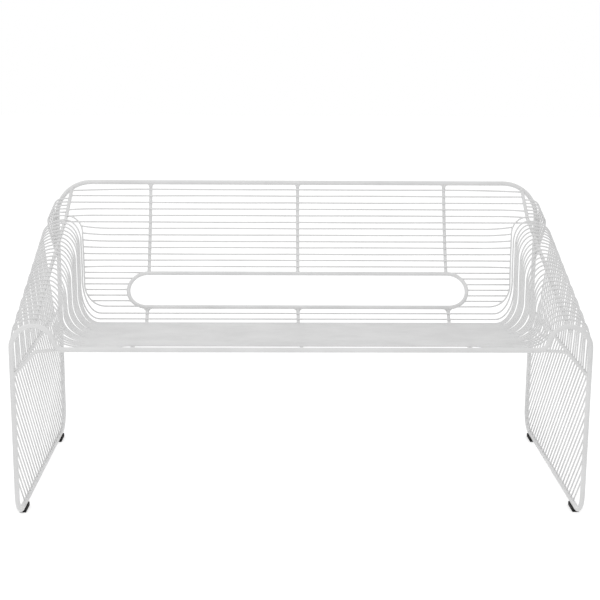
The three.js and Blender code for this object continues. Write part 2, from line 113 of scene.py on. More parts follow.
def surface_grain():
    """A group for cast or baked surfaces: Height is fine pebbling, Tone is a slow unevenness."""
    group = bpy.data.node_groups.new("surface grain", "ShaderNodeTree")
    for name, value in (("Pebble Scale", 700.0), ("Tone Scale", 9.0)):
        socket = group.interface.new_socket(name, in_out="INPUT", socket_type="NodeSocketFloat")
        socket.default_value = value
    for name in ("Height", "Tone"):
        group.interface.new_socket(name, in_out="OUTPUT", socket_type="NodeSocketFloat")
    entry = group.nodes.new("NodeGroupInput")
    place = node(group, "ShaderNodeTexCoord")
    pebble = node(group, "ShaderNodeTexNoise", Detail=2.0, Roughness=0.5, links=[
        ("Vector", place, "Object"), ("Scale", entry, "Pebble Scale")])
    cloud = node(group, "ShaderNodeTexNoise", Detail=3.0, Roughness=0.6, links=[
        ("Vector", place, "Object"), ("Scale", entry, "Tone Scale")])
    spread = node(group, "ShaderNodeMapRange", links=[("Value", cloud, "Fac")], **{
        "From Min": 0.35, "From Max": 0.7, "To Min": 0.0, "To Max": 1.0})
    leave = group.nodes.new("NodeGroupOutput")
    group.links.new(pebble.outputs["Fac"], leave.inputs["Height"])
    group.links.new(spread.outputs["Result"], leave.inputs["Tone"])
    return group


GRAIN = surface_grain()


def finish(name, clean, dull, roughness, pebble_scale, pebble_height, **shader):
    """A coated or moulded surface: its colour drifts from clean to dull and its roughness along
    with it, from the first value to the second, under a fine pebbling of this height."""
    material = bpy.data.materials.new(name)
    material.use_nodes = True
    tree = material.node_tree
    principled = tree.nodes["Principled BSDF"]
    grain = node(tree, "ShaderNodeGroup", node_tree=GRAIN)
    grain.inputs["Pebble Scale"].default_value = pebble_scale
    tone = node(tree, "ShaderNodeMix", data_type="RGBA")
    share, colour_a, colour_b = (tone.inputs[i] for i in (0, 6, 7))
    mixed_colour = tone.outputs[2]
    colour_a.default_value = clean
    colour_b.default_value = dull
    tree.links.new(grain.outputs["Tone"], share)
    rough = node(tree, "ShaderNodeMapRange", links=[("Value", grain, "Tone")], **{
        "To Min": roughness[0], "To Max": roughness[1]})
    bump = node(tree, "ShaderNodeBump", Strength=0.5, Distance=pebble_height, links=[
        ("Height", grain, "Height")])
    tree.links.new(mixed_colour, principled.inputs["Base Color"])
    tree.links.new(rough.outputs["Result"], principled.inputs["Roughness"])
    tree.links.new(bump.outputs["Normal"], principled.inputs["Normal"])
    for socket, value in shader.items():
        principled.inputs[socket].default_value = value
    return material


WHITE_COAT = finish("white powder coat", COAT_WHITE, COAT_SHADE, COAT_ROUGHNESS,
                    pebble_scale=650.0, pebble_height=0.00025)


def side_x(y):
    """Half the bench's width in the leaning plane of the legs, y behind the front legs."""
    return FRONT_HALF + (REAR_HALF - FRONT_HALF) * y / DEPTH


def bent(*corners, fineness=24, fewest=8):
    """A bent bar's centre line: straight runs between corners (x, y, z, bend radius), where each
    corner becomes the circle arc that touches both runs, in steps that grow with its turn."""
    line = []
    for i, corner in enumerate(corners):
        at = np.array(corner[:3], float)
        if len(corner) == 3:
            line.append(at[None])
            continue
        before = np.array(corners[i - 1][:3]) - at
        after = np.array(corners[i + 1][:3]) - at
        before /= np.linalg.norm(before)
        after /= np.linalg.norm(after)
        inward = (before + after) / np.linalg.norm(before + after)
        across = (after - before) / np.linalg.norm(after - before)
        half = np.arccos(np.clip(before @ after, -1, 1)) / 2
        reach = np.pi / 2 - half
        swing = np.linspace(-reach, reach, max(fewest, int(reach * fineness)))[:, None]
        radius = corner[3]
        centre = at + inward * radius / np.sin(half)
        line.append(centre - inward * radius * np.cos(swing) + across * radius * np.sin(swing))
    return np.concatenate(line)


def on_side(line, sign):
    """A line of the right side as it lies on the right (1), or mirrored to the left (-1)."""
    return line * [sign, 1, 1]


def both_sides(half):
    """A line that runs from the left side to the right, from its right half."""
    return np.concatenate([on_side(half, -1)[::-1], half])


def skin(rings):
    """A closed shape over rows of points, each row a ring running anticlockwise as seen from
    the last row. Its vertices, the quads between the rows, and one polygon at each end."""
    rows, columns = rings.shape[:2]
    index = np.arange(rows * columns).reshape(rows, columns)
    turned = np.roll(index, -1, axis=1)
    quads = np.stack([index[:-1], turned[:-1], turned[1:], index[1:]], -1).reshape(-1, 4)
    return rings.reshape(-1, 3), quads, np.stack([index[0][::-1], index[-1]])


def bar(line, diameter, sides=14, dome_height=0.3):
    """A round bar along a line: a circle stands square to the line at each point, turned as
    little as possible from the one before, and each end closes in a shallow dome, this share of
    the radius high."""
    step = np.diff(line, axis=0)
    step /= np.linalg.norm(step, axis=1)[:, None]
    along = np.concatenate([step[:1], step[:-1] + step[1:], step[-1:]])
    along /= np.linalg.norm(along, axis=1)[:, None]
    unused_direction = [0.31, 0.52, 0.79]
    side = np.cross(along[0], unused_direction)
    out = np.empty_like(line)
    for i, heading in enumerate(along):
        side = side - heading * (side @ heading)
        side /= np.linalg.norm(side)
        out[i] = side
    up = np.cross(along, out)

    dome = np.radians([30, 58, 80])
    rise = dome_height * diameter / 2 * np.sin(dome)[:, None]
    shrink = np.cos(dome)
    first_dome = line[:1] - along[:1] * rise[::-1]
    last_dome = line[-1:] + along[-1:] * rise
    centre = np.concatenate([first_dome, line, last_dome])
    scale = np.concatenate([shrink[::-1], np.ones(len(line)), shrink]) * diameter / 2
    rows = np.pad(np.arange(len(line)), len(dome), mode="edge")
    angle = np.linspace(0, 2 * np.pi, sides, endpoint=False)
    circle = out[rows, None] * np.cos(angle)[:, None] + up[rows, None] * np.sin(angle)[:, None]
    return skin(centre[:, None] + circle * scale[:, None, None])


def weld(at, *reach, uneven=0.1):
    """A small weld bead: an ellipsoid this far each way from its middle, and up to this share
    larger or smaller: the sine of a fast wave through the bench, taken at the bead."""
    level = np.radians([-68, -34, 0, 34, 68])[:, None]
    angle = np.linspace(0, 2 * np.pi, 10, endpoint=False)
    ball = np.stack(np.broadcast_arrays(
        np.cos(level) * np.cos(angle), np.cos(level) * np.sin(angle), np.sin(level)), -1)
    radians_per_metre = [700, 900, 1100]
    wave = np.sin(np.dot(at, radians_per_metre))
    return skin(at + ball * reach * (1 + uneven * wave))


def end_welds(line, diameter, share=0.64):
    """A bead round each end of a bar, its radius this share of the bar's diameter."""
    return [weld(end, *[diameter * share] * 3) for end in (line[0], line[-1])]


def to_origin(line):
    """Lines are laid out from the front legs; the bench's origin is under its middle."""
    return line - [0, DEPTH / 2, 0]


def piece(name, shapes, material, slot, *cad_nodes):
    """One object from several closed shapes, riding on the bench, in place of its CAD nodes."""
    vertices, faces, first = [], [], 0
    for points, quads, ends in shapes:
        vertices.append(to_origin(points))
        faces += (first + quads).tolist() + (first + ends).tolist()
        first += len(points)
    mesh = bpy.data.meshes.new(name)
    mesh.from_pydata(np.concatenate(vertices).tolist(), [], faces)
    mesh.polygons.foreach_set("use_smooth", np.ones(len(faces), bool))
    mesh.materials.append(material)
    made = bpy.data.objects.new(name, mesh)
    bpy.context.scene.collection.objects.link(made)
    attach(made, "root")
    if cad_nodes:
        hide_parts(*cad_nodes)
    return made


def steel(name, shapes, *cad_nodes):
    """A powder-coated piece."""
    return piece(name, shapes, WHITE_COAT, "white_powder_coat", *cad_nodes)


front_line = both_sides(bent(
    (0.0, 0, BAR_Z),
    (BAR_HALF, 0, BAR_Z, BAR_BEND),
    (ARCH_HALF, 0, ARCH_Z, ARCH_INNER_BEND),
    (FRONT_HALF, 0, ARCH_Z, ARCH_OUTER_BEND),
    (FRONT_HALF, 0, RAIL_Z, FOOT_BEND),
    (side_x(RAIL_END), RAIL_END, RAIL_Z),
)[1:])
rear_line = both_sides(bent(
    (0.0, DEPTH, TOP_Z),
    (REAR_HALF, DEPTH, TOP_Z, TOP_BEND),
    (REAR_HALF, DEPTH, RAIL_Z, FOOT_BEND),
    (side_x(DEPTH - RAIL_END), DEPTH - RAIL_END, RAIL_Z),
)[1:])
steel("perimeter_rod_front", [bar(front_line, ROD, sides=24)], "front_frame")
steel("perimeter_rod_rear", [bar(rear_line, ROD, sides=24)],
      "top_rail", "rear_leg_left", "rear_leg_right")

# ---- Ring, struts and bearers -------------------------------------------------------------
# A long ring of bar frames the slot behind the sitter's back. Three struts run up from it
# behind the back wires to the top rail, and three bearers run under the seat to the front bar.
RING_BAR = 0.011
STRUT_BAR = 0.0095
WIRE = 0.0045
RING_AT = 0.324
RING_RADIUS = 0.0535
RING_STRAIGHT = 0.4235
STRUT_X = {"left": -0.422, "centre": 0.0, "right": 0.422}
STRUT_TOP = 0.006
STRUT_SETBACK = 0.017
BEARER_END = 0.008

# How deep crossing bars sink into each other at a weld, and an end goes into what it meets.
SINK = 0.0006
BITE = 0.001
ON_RING = RING_BAR / 2 - BITE

# Seen from the side the back and seat follow one scooped curve, bent into the wires' supports:
# two easy curves from the top rail to the seat's lowest point, then a straight rising seat.
RECLINE_TOP = np.radians(17.3)
RECLINE_LOW = np.radians(47.7)
BACK_LOW = np.array([0.4816, 0.4046])
SEAT_SLOPE = np.radians(7.66)
SEAT_FRONT = np.array([0.0, 0.4572])


def crossing(a, along_a, b, along_b):
    """Where two lines meet in the side view: both reach it from their own point along their own
    direction, which makes two equations for the two reaches."""
    reach = np.linalg.solve(np.column_stack([along_a, -along_b]), b - a)[0]
    return a + along_a * reach


def bow(start, knee, end, steps=160):
    """A curve that leaves start towards knee and comes into end from knee: the three points
    blended by the squares of the shares left and done, and by twice their product."""
    t = np.linspace(0, 1, steps)[:, None]
    return (1 - t) ** 2 * start + 2 * t * (1 - t) * knee + t ** 2 * end


top = np.array([DEPTH, TOP_Z])
down_top = np.array([-np.sin(RECLINE_TOP), -np.cos(RECLINE_TOP)])
down_low = np.array([-np.sin(RECLINE_LOW), -np.cos(RECLINE_LOW)])
seat_rise = np.array([-np.cos(SEAT_SLOPE), np.sin(SEAT_SLOPE)])
seat_knee = crossing(BACK_LOW, down_low, SEAT_FRONT, seat_rise)
seat_start = seat_knee + seat_rise * np.linalg.norm(BACK_LOW - seat_knee)
profile = np.concatenate([
    bow(top, crossing(top, down_top, BACK_LOW, down_low), BACK_LOW),
    bow(BACK_LOW, seat_knee, seat_start)[1:],
    SEAT_FRONT[None],
])
profile_length = np.concatenate([[0], np.cumsum(np.linalg.norm(np.diff(profile, axis=0), axis=1))])
SHELL_LENGTH = profile_length[-1]


def on_shell(x, distance, lift=0.0, probe=0.0005):
    """Points of the shell this far below the top rail along the curve, lifted towards the
    sitter by lift, square to the curve between two points a probe away on either side. x,
    distance and lift may be arrays."""
    def on_profile(reach):
        return np.stack([np.interp(reach, profile_length, profile[:, i]) for i in (0, 1)], -1)

    x, distance, lift = np.broadcast_arrays(x, distance, np.asarray(lift, float))
    at = on_profile(distance)
    near = np.clip(distance, probe, SHELL_LENGTH - probe)
    run = on_profile(near + probe) - on_profile(near - probe)
    along = run / np.linalg.norm(run, axis=-1)[..., None]
    return np.stack([x, at[..., 0] + along[..., 1] * lift, at[..., 1] - along[..., 0] * lift], -1)


def straight(start, end, steps=2):
    """Evenly spaced points from start to end."""
    return np.linspace(start, end, steps)


half_turn = np.linspace(0, np.pi, 28)
end_x = RING_STRAIGHT + RING_RADIUS * np.sin(half_turn)
end_at = RING_AT - RING_RADIUS * np.cos(half_turn)
ring_line = np.concatenate([on_shell(end_x, end_at), on_shell(-end_x[::-1], end_at[::-1])])
ring_line = np.concatenate([ring_line, ring_line[:2]])
steel("back_ring", [bar(ring_line, RING_BAR, sides=18)], "lumbar_ring")


def flare(line, diameter, spread=0.0065, height=0.010, sunk=0.0025, proud=0.0002):
    """The weld where the start of a bar meets a rod along X: an oval sleeve that stands proud of
    the bar. It starts sunk into the rod, there wider than the bar by spread on each side, and
    narrows as a square over its height to the bar itself."""
    along = (line[1] - line[0]) / np.linalg.norm(line[1] - line[0])
    back = np.cross(along, [1, 0, 0])
    part = np.linspace(0, 1, 7)[:, None, None]
    angle = np.linspace(0, 2 * np.pi, 16, endpoint=False)[:, None]
    radius = diameter / 2 + proud
    upward = along * (height * part - sunk)
    sideways = np.cos(angle) * (radius + spread * (1 - part) ** 2) * [1, 0, 0]
    return skin(line[0] + upward + sideways + np.sin(angle) * radius * back)


# A strut slants back from the top rail's centre, and is all behind the wires by its setback.
under = -(WIRE + STRUT_BAR) / 2 + SINK
strut_down = np.linspace(STRUT_TOP, RING_AT - RING_RADIUS - ON_RING, 40)
bearer_along = np.linspace(RING_AT + RING_RADIUS + ON_RING, SHELL_LENGTH - BEARER_END, 60)
for name, x in STRUT_X.items():
    strut = on_shell(x, strut_down, under * np.minimum(1, strut_down / STRUT_SETBACK))
    bearer = on_shell(x, bearer_along, under)
    shapes = [bar(strut, STRUT_BAR), flare(strut, STRUT_BAR), flare(strut[::-1], STRUT_BAR)]
    steel(f"strut_{name}", shapes, f"back_strut_{name}")
    shapes = [bar(bearer, STRUT_BAR), flare(bearer, STRUT_BAR), *end_welds(bearer, STRUT_BAR)]
    steel(f"bearer_{name}", shapes, f"seat_bearer_{name}")

# ---- Seat and arm wires -------------------------------------------------------------------
# Twenty-six long wires, cold bent and spot welded. Each makes one line of the seat, turns up
# the inner wall of both arms, rolls over the arm's ridge and comes down outside to the side rod.
SHORT_WIRE = 14
CORNER_WIRE = 20
LAST_WIRE = 46
BACK_AT, BACK_PITCH = 0.0201, 0.0191
SHORT_PITCH = 0.0178
SEAT_AT, SEAT_PITCH = 0.398, 0.0188
RIDGE_X = 0.662
RIDGE_FRONT_Y = 0.046
RIDGE_FRONT_Z = 0.519
RIDGE_SLOPE = 0.2305
RIDGE_PITCH = 0.0234
SIDE_ROD_Z = 0.380
THIN_BAR = 0.008

# Each pair is the size at the rearmost long wire and the size at the foremost one.
SEAT_HALF = (0.551, 0.535)
WALL_FOOT = (0.6085, 0.6155)
WALL_HEAD = (0.616, 0.6125)
OUTER_HALF = (0.7265, 0.7205)
LOW_BEND = (0.096, 0.049)
HIGH_BEND = (0.063, 0.088)

# The two inner bends take at most these shares of the wall's height.
LOW_SHARE = 0.45
HIGH_SHARE = 0.53
OUTER_BEND = 0.05
WALL_BOW = 0.4

# Groups of wires: where the first one starts, how many wires long each is, and its shift.
INNER_GROUP = (CORNER_WIRE + 1.5, 4.3, 0.0018)
OUTER_SHIFT = 0.0022
OUTER_GROUP = (CORNER_WIRE + 1, 3, OUTER_SHIFT)

DEEPEST_DIP = 0.0045
DIPPED_WIRES = 5
DIP_FROM = 0.43
DIP_RUN = 0.04
CREST_BEAD = (0.003, 0.0028, 0.0014)
FOOT_BEAD = (0.0018, 0.0028, 0.003)
SEAT_BEAD = (0.0028, 0.003, 0.0014)


def wire_distance(k):
    """How far below the top rail wire k lies, counted from the top: back wires, then the closer
    wires beside the ring, then seat wires, each kind at its own even pitch."""
    if k <= SHORT_WIRE:
        return BACK_AT + (k - 1) * BACK_PITCH
    if k <= CORNER_WIRE:
        return wire_distance(SHORT_WIRE) + (k - SHORT_WIRE) * SHORT_PITCH
    return SEAT_AT + (k - CORNER_WIRE - 1) * SEAT_PITCH


def quarter(x, z, width, height, start, turn, steps=16):
    """A quarter of an ellipse round (x, z), from the angle start: anticlockwise where turn is 1,
    clockwise where it is -1."""
    angle = start + turn * np.linspace(0, np.pi / 2, steps)
    return np.stack([x + width * np.cos(angle), z + height * np.sin(angle)], -1)


def ridge_z(y):
    """The height of the wires' crests over the arm's ridge."""
    return RIDGE_FRONT_Z + RIDGE_SLOPE * (y - RIDGE_FRONT_Y)


def group_shift(k, first, size, shift):
    """The walls stand in small groups: from plus to minus shift along a group of this size, and
    back to plus where the next one begins, counted from the first group's start."""
    return shift * (1 - 2 * ((k - first) / size % 1))


def arm_half(k):
    """The right half of seat wire k: in front view straight runs joined by quarter ellipses.
    The foremost wires dip towards the seat bar, along a smooth step, before they turn up. The
    depth goes from the seat's to the crest's with the height on the inner wall, bowed by a
    parabola, and stays there outside. A quarter of the outer shift is left at the foot, all of
    it outwards."""
    front = (k - CORNER_WIRE) / (LAST_WIRE - CORNER_WIRE)
    seat_y, seat_z = on_shell(0, wire_distance(k))[1:]
    crest_y = RIDGE_FRONT_Y + (LAST_WIRE - k) * RIDGE_PITCH
    crest_z = ridge_z(crest_y)
    dip = DEEPEST_DIP * (max(0, k - LAST_WIRE + DIPPED_WIRES) / DIPPED_WIRES) ** 2
    height = crest_z - seat_z + dip
    shift = group_shift(k, *INNER_GROUP)
    outer_shift = group_shift(k, *OUTER_GROUP) * front
    bend_x = np.interp(front, [0, 1], SEAT_HALF) + shift
    wall_foot = np.interp(front, [0, 1], WALL_FOOT) + shift
    wall_head = np.interp(front, [0, 1], WALL_HEAD) + shift
    outer_x = np.interp(front, [0, 1], OUTER_HALF) + outer_shift
    low = min(np.interp(front, [0, 1], LOW_BEND), height * LOW_SHARE)
    high = min(np.interp(front, [0, 1], HIGH_BEND), height * HIGH_SHARE)

    ease = np.linspace(0, 1, 8)
    across = np.stack([DIP_FROM + DIP_RUN * ease, seat_z - dip * ease ** 2 * (3 - 2 * ease)], -1)
    foot = quarter(bend_x, seat_z - dip + low, wall_foot - bend_x, low, -np.pi / 2, 1)
    head = quarter(RIDGE_X, crest_z - high, RIDGE_X - wall_head, high, np.pi, -1)
    wall = straight(foot[-1], head[0], 12)[1:-1]
    inside = np.concatenate([across, foot, wall, head])

    bend_width = outer_x - RIDGE_X
    over = quarter(RIDGE_X, crest_z - OUTER_BEND, bend_width, OUTER_BEND, np.pi / 2, -1)[1:]
    foot_shift = (outer_shift + OUTER_SHIFT * front) / 4
    end = [side_x(crest_y) + (THIN_BAR + WIRE) / 2 + foot_shift, SIDE_ROD_Z - THIN_BAR / 2]
    outside = np.concatenate([over, straight(over[-1], end, 10)[1:]])

    rise = np.maximum(inside[:, 1] - seat_z, 0) / (crest_z - seat_z)
    inside_y = seat_y + (crest_y - seat_y) * (rise + WALL_BOW * rise * (1 - rise))
    flat = np.concatenate([inside, outside])
    depth = np.append(inside_y, np.full(len(outside), crest_y))
    return np.stack([flat[:, 0], depth, flat[:, 1]], -1)


def strut_welds(distance, *reach):
    """The beads under a wire where it crosses the three struts or bearers."""
    return [weld(on_shell(x, distance, -WIRE / 2), *reach) for x in STRUT_X.values()]


for k in range(CORNER_WIRE + 1, LAST_WIRE + 1):
    half = arm_half(k)
    crest = half[np.argmax(half[:, 2])] - [0, 0, WIRE / 2]
    foot = np.array([half[-1][0] - WIRE / 2, half[-1][1], SIDE_ROD_Z])
    shapes = [bar(both_sides(half), WIRE, sides=12)]
    shapes += [weld(on_side(crest, sign), *CREST_BEAD) for sign in (1, -1)]
    shapes += [weld(on_side(foot, sign), *FOOT_BEAD) for sign in (1, -1)]
    shapes += strut_welds(wire_distance(k), *SEAT_BEAD)
    steel(f"seat_wire_{k}", shapes, f"shell_wire_{k}")

# ---- Corner wires and the short wires beside the ring -------------------------------------
# On each side one more wire starts on the ring's lower edge, climbs the back, crosses the
# ridge and ends on the rear leg. Six short wires join it to the end of the ring.
CREST_AT = 0.099
CREST_LIFT = 0.007
CREST_WALL = 0.6145
CREST_BEND = 0.05
CORNER_FROM = 0.44
CORNER_WALL = 0.602
CORNER_LOW_BEND = (0.065, 0.08)
CORNER_OUT = 0.723
CORNER_OUTER_BEND = 0.034
CORNER_FALL = 0.15
OUTWARD_DROP = 0.003
SHORT_SPAN = np.array([0.4, 0.64])
ON_ROD = ROD / 2 - BITE
ON_WIRE = WIRE / 2 - BITE
SIDES = {"left": -1, "right": 1}


def distance_to(points, line):
    """How far each point is from a line of points: from its nearest place on each straight run,
    and the least of these."""
    start, run = line[:-1], np.diff(line, axis=0)
    offset = points[:, None] - start
    part = np.clip((offset * run).sum(-1) / (run * run).sum(-1), 0, 1)
    return np.linalg.norm(offset - part[..., None] * run, axis=-1).min(1)


def cut(line, other, clearance, step=0.0004):
    """The line up to where it first comes this close to another line, tried at every step."""
    runs = []
    for a, b in zip(line[:-1], line[1:]):
        steps = max(2, int(np.linalg.norm(b - a) / step))
        runs.append(straight(a, b, steps)[:-1])
    fine = np.concatenate([*runs, line[-1:]])
    owner = np.concatenate([np.full(len(run), i) for i, run in enumerate(runs)])
    near = np.flatnonzero(distance_to(fine, other) < clearance)
    if len(near) == 0:
        return line
    last = near[0] - 1
    return np.concatenate([line[:owner[last] + 1], fine[last:last + 1]])


def cut_start(line, other, clearance):
    """The line from where it last comes this close to another line."""
    return cut(line[::-1], other, clearance)[::-1]


def welded_wire(line, sign=1):
    """A wire of the right side, as it lies on the side of this sign, with a bead at each end."""
    line = on_side(line, sign)
    return [bar(line, WIRE, sides=12), *end_welds(line, WIRE)]


def down_to_leg(start, out_x, out_y, bend, fall):
    """The outer half of a rear wire: nearly level outwards, round a bend of this radius, and
    straight towards a point on the rear leg this much lower than its start."""
    turn = (out_x, out_y, start[2] - OUTWARD_DROP, bend)
    return bent(tuple(start), turn, (REAR_HALF, DEPTH, start[2] - fall))


# The wire's climb is drawn flat first, as x and the height above the top rail along the shell.
low = -wire_distance(CORNER_WIRE)
width, height = CORNER_LOW_BEND
climb = quarter(CORNER_WALL - width, low + height, width, height, -np.pi / 2, 1, steps=24)
width = RIDGE_X - CREST_WALL
roll = quarter(RIDGE_X, -CREST_AT - CREST_BEND, width, CREST_BEND, np.pi, -1, steps=24)
wall = straight(climb[-1], roll[0], 16)[1:-1]
corner_flat = np.concatenate([[[CORNER_FROM, low]], climb, wall, roll])
past_wall = np.maximum(0, (corner_flat[:, 0] - CREST_WALL) / width)
corner_back = on_shell(corner_flat[:, 0], -corner_flat[:, 1], CREST_LIFT * past_wall)
crest = corner_back[-1]
out_y = crest[1] + CREST_LIFT
corner_outside = down_to_leg(crest, CORNER_OUT, out_y, CORNER_OUTER_BEND, CORNER_FALL)
corner_line = np.concatenate([corner_back, corner_outside[1:]])
corner_line = cut(cut_start(corner_line, ring_line, ON_RING), rear_line, ON_ROD)

short_lines = []
for k in range(SHORT_WIRE, CORNER_WIRE):
    reach = on_shell(SHORT_SPAN, wire_distance(k))
    short_lines.append(cut_start(cut(reach, corner_line, ON_WIRE), ring_line, ON_RING))
for side, sign in SIDES.items():
    shapes = []
    for line in [corner_line, *short_lines]:
        shapes += welded_wire(line, sign)
    steel(f"corner_wires_{side}", shapes)

# ---- Arm ridge rods -----------------------------------------------------------------------
# Under the crests of the arm wires a bar runs from the front arch up to the top rail's corner.
# Its steep rear end carries five short wires that turn down outside to the rear leg.
RIDGE_BAR = 0.010
RIDGE_OVERRUN = 0.012
RIDGE_BEND = 0.024
RIDGE_NECK = (0.648, DEPTH - 0.006, TOP_Z - 0.02)
RIDGE_TOP = (0.644, DEPTH, TOP_Z)
REAR_WIRES = 5
REAR_WIRE_Z, REAR_WIRE_PITCH = 0.706, 0.0094
REAR_WIRE_OUT = 0.702
REAR_WIRE_BEND = 0.028
REAR_WIRE_FALL = 0.14
ON_RIDGE = RIDGE_BAR / 2 - BITE

ridge_drop = (WIRE + RIDGE_BAR) / 2 * np.hypot(1, RIDGE_SLOPE) - SINK
ridge_rear = RIDGE_FRONT_Y + (LAST_WIRE - CORNER_WIRE) * RIDGE_PITCH + RIDGE_OVERRUN
ridge_line = bent(
    (RIDGE_X, 0, ridge_z(0) - ridge_drop),
    (RIDGE_X, ridge_rear, ridge_z(ridge_rear) - ridge_drop, RIDGE_BEND),
    RIDGE_NECK,
    RIDGE_TOP,
)
ridge_line = cut(cut_start(ridge_line, front_line, ON_ROD), rear_line, ON_ROD)
rear_wires = []
for i in range(REAR_WIRES):
    z = REAR_WIRE_Z - i * REAR_WIRE_PITCH
    start = np.array([np.interp(z, ridge_line[:, 2], ridge_line[:, axis]) for axis in range(3)])
    out_x = np.interp(i, [0, REAR_WIRES - 1], [REAR_WIRE_OUT, CORNER_OUT])
    line = down_to_leg(start, out_x, start[1], REAR_WIRE_BEND, REAR_WIRE_FALL)
    rear_wires.append(cut(line, rear_line, ON_ROD))
for side, sign in SIDES.items():
    line = on_side(ridge_line, sign)
    shapes = [bar(line, RIDGE_BAR), *end_welds(line, RIDGE_BAR)]
    for wire in rear_wires:
        shapes += welded_wire(wire, sign)
    steel(f"arm_ridge_bar_{side}", shapes, f"arm_ridge_{side}")

# ---- Back wires ---------------------------------------------------------------------------
# Thirteen wires cross the back in front of the struts. The top five end on the ridge bars and
# the last seven on the corner wires; the sixth runs past both and ends free behind them. Each
# bows by under a millimetre between the struts, and the welder's pull bends the ends a little.
BACK_HALF = 0.69
TOP_SAG = 0.0045
CREST_WIRES, CREST_DROP = (4, 5), 0.003
END_RUN = 0.08
END_RISE = {6: 0.0, 7: 0.006, 13: -0.002}
WIRE_BOW = 0.0008
BOW_STEP = 2.4
BACK_BEAD = (0.0028, 0.0014, 0.003)


def end_shape(k, reach):
    """The stretch in which the end of wire k leaves its level, and how far it rises by its tip:
    the top one sags, two drop beside the corner wire's crest, and from the seventh to the last
    the rise falls evenly to a slight drop. The others stay level."""
    if k == 1:
        return reach - STRUT_X["right"], -TOP_SAG
    if k in CREST_WIRES:
        return END_RUN, -CREST_DROP
    return END_RUN, np.interp(k, list(END_RISE), list(END_RISE.values()))


def back_half(k):
    """The right half of back wire k, until it meets the corner wire or the ridge bar: half a
    sine wave between the struts, its height the bow times the sine of k steps, then level, and
    then a parabola up or down to its tip."""
    distance = wire_distance(k)
    level = on_shell(np.array([0, BACK_HALF]), distance)
    reach = cut(cut(level, corner_line, ON_WIRE), ridge_line, ON_RIDGE)[-1][0]
    run, rise = end_shape(k, reach)
    part = np.linspace(0, 1, 12)
    inner_x = np.linspace(0, STRUT_X["right"], 13)
    inner_x = inner_x[inner_x < reach - run - BITE]
    wave = np.sin(BOW_STEP * k) * np.sin(np.pi * inner_x / STRUT_X["right"])
    half = np.concatenate([
        on_shell(inner_x, distance + WIRE_BOW * wave),
        on_shell(reach - run + run * part, distance - rise * part ** 2),
    ])
    return cut(cut(half, corner_line, ON_WIRE), ridge_line, ON_RIDGE)


for k in range(1, SHORT_WIRE):
    shapes = welded_wire(both_sides(back_half(k)[1:]))
    shapes += strut_welds(wire_distance(k), *BACK_BEAD)
    steel(f"back_cross_wire_{k:02d}", shapes, f"back_wire_{k:02d}")

# ---- Side panels --------------------------------------------------------------------------
# Each side is a flat grille in the plane of the legs: bottom rail, side rod, and wires that
# lean forward at one pitch, with their ends welded to the rods and the legs.
LEAN = np.tan(np.radians(41))
SIDE_REACH = (SIDE_ROD_Z - RAIL_Z) * LEAN
SIDE_PITCH = 0.0247

# Where the first wire meets the bottom rail, and how short of nothing the last one stops.
SIDE_FIRST = 0.094
SIDE_SPARE = 0.04

rail = np.array([[side_x(y), y, RAIL_Z] for y in (RAIL_END - SINK, DEPTH - RAIL_END + SINK)])
side_rod = np.array([[side_x(y), y, SIDE_ROD_Z] for y in (0, DEPTH)])
side_rod = cut(cut_start(side_rod, front_line, ON_ROD), rear_line, ON_ROD)
leaning = []
for foot in np.arange(SIDE_FIRST, DEPTH + SIDE_REACH - SIDE_SPARE, SIDE_PITCH):
    head_y = max(foot - SIDE_REACH, 0)
    foot_y = min(foot, DEPTH)
    line = np.array([[side_x(y), y, RAIL_Z + (foot - y) / LEAN] for y in (head_y, foot_y)])
    leaning.append(cut(cut_start(line, front_line, ON_ROD), rear_line, ON_ROD))
for side, sign in SIDES.items():
    rod = on_side(side_rod, sign)
    shapes = [bar(on_side(rail, sign), ROD, sides=24), bar(rod, THIN_BAR)]
    shapes += end_welds(rod, THIN_BAR)
    for line in leaning:
        shapes += welded_wire(line, sign)
    steel(f"side_panel_{side}", shapes, f"side_grille_{side}")

# ---- Arm braces ---------------------------------------------------------------------------
# A short bar under each arm's front is welded behind the end of the seat bar, carries on its
# line, then turns down to the front leg.
BRACE_Y = (ROD + THIN_BAR) / 2 + 0.0006
BRACE_START = (0.585, BRACE_Y, BAR_Z - 0.002)
BRACE_TURN = (0.658, BRACE_Y, BAR_Z - 0.008, 0.018)
BRACE_FOOT = (FRONT_HALF, 0, SIDE_ROD_Z + 0.003)

brace_line = cut(bent(BRACE_START, BRACE_TURN, BRACE_FOOT), front_line, ON_ROD)
for side, sign in SIDES.items():
    line = on_side(brace_line, sign)
    steel(f"brace_{side}", [bar(line, THIN_BAR), *end_welds(line, THIN_BAR)], f"arm_brace_{side}")

# ---- Feet ---------------------------------------------------------------------------------
# Four black moulded rubber pads are pushed up onto the bottom rails near the legs.
# The rubber is matt and finely grained, with a slightly greyer bloom in places.
PAD_LONG, PAD_WIDE, PAD_HIGH = 0.050, 0.018, 0.011
PAD_FROM_LEG = 0.082
PAD_CORNER = 0.0016
PAD_RIM = 0.0008
PAD_MIDDLE = 0.4
END_INSET = np.array([0, 0.0002, 0.0006, 0.0014, PAD_LONG / 2])
END_SIZE = np.array([0.90, 0.945, 0.975, 1.0, 1.0])
RUBBER_BLACK = (0.006, 0.006, 0.006, 1.0)
RUBBER_BLOOM = (0.012, 0.012, 0.012, 1.0)
RUBBER_ROUGHNESS = (0.7, 0.85)
RUBBER = finish("black rubber", RUBBER_BLACK, RUBBER_BLOOM, RUBBER_ROUGHNESS,
                pebble_scale=900.0, pebble_height=0.0004, **{"Specular IOR Level": 0.2})

rail_run = np.array([REAR_HALF - FRONT_HALF, DEPTH, 0])
RAIL_DIRECTION = rail_run / np.hypot(*rail_run[:2])


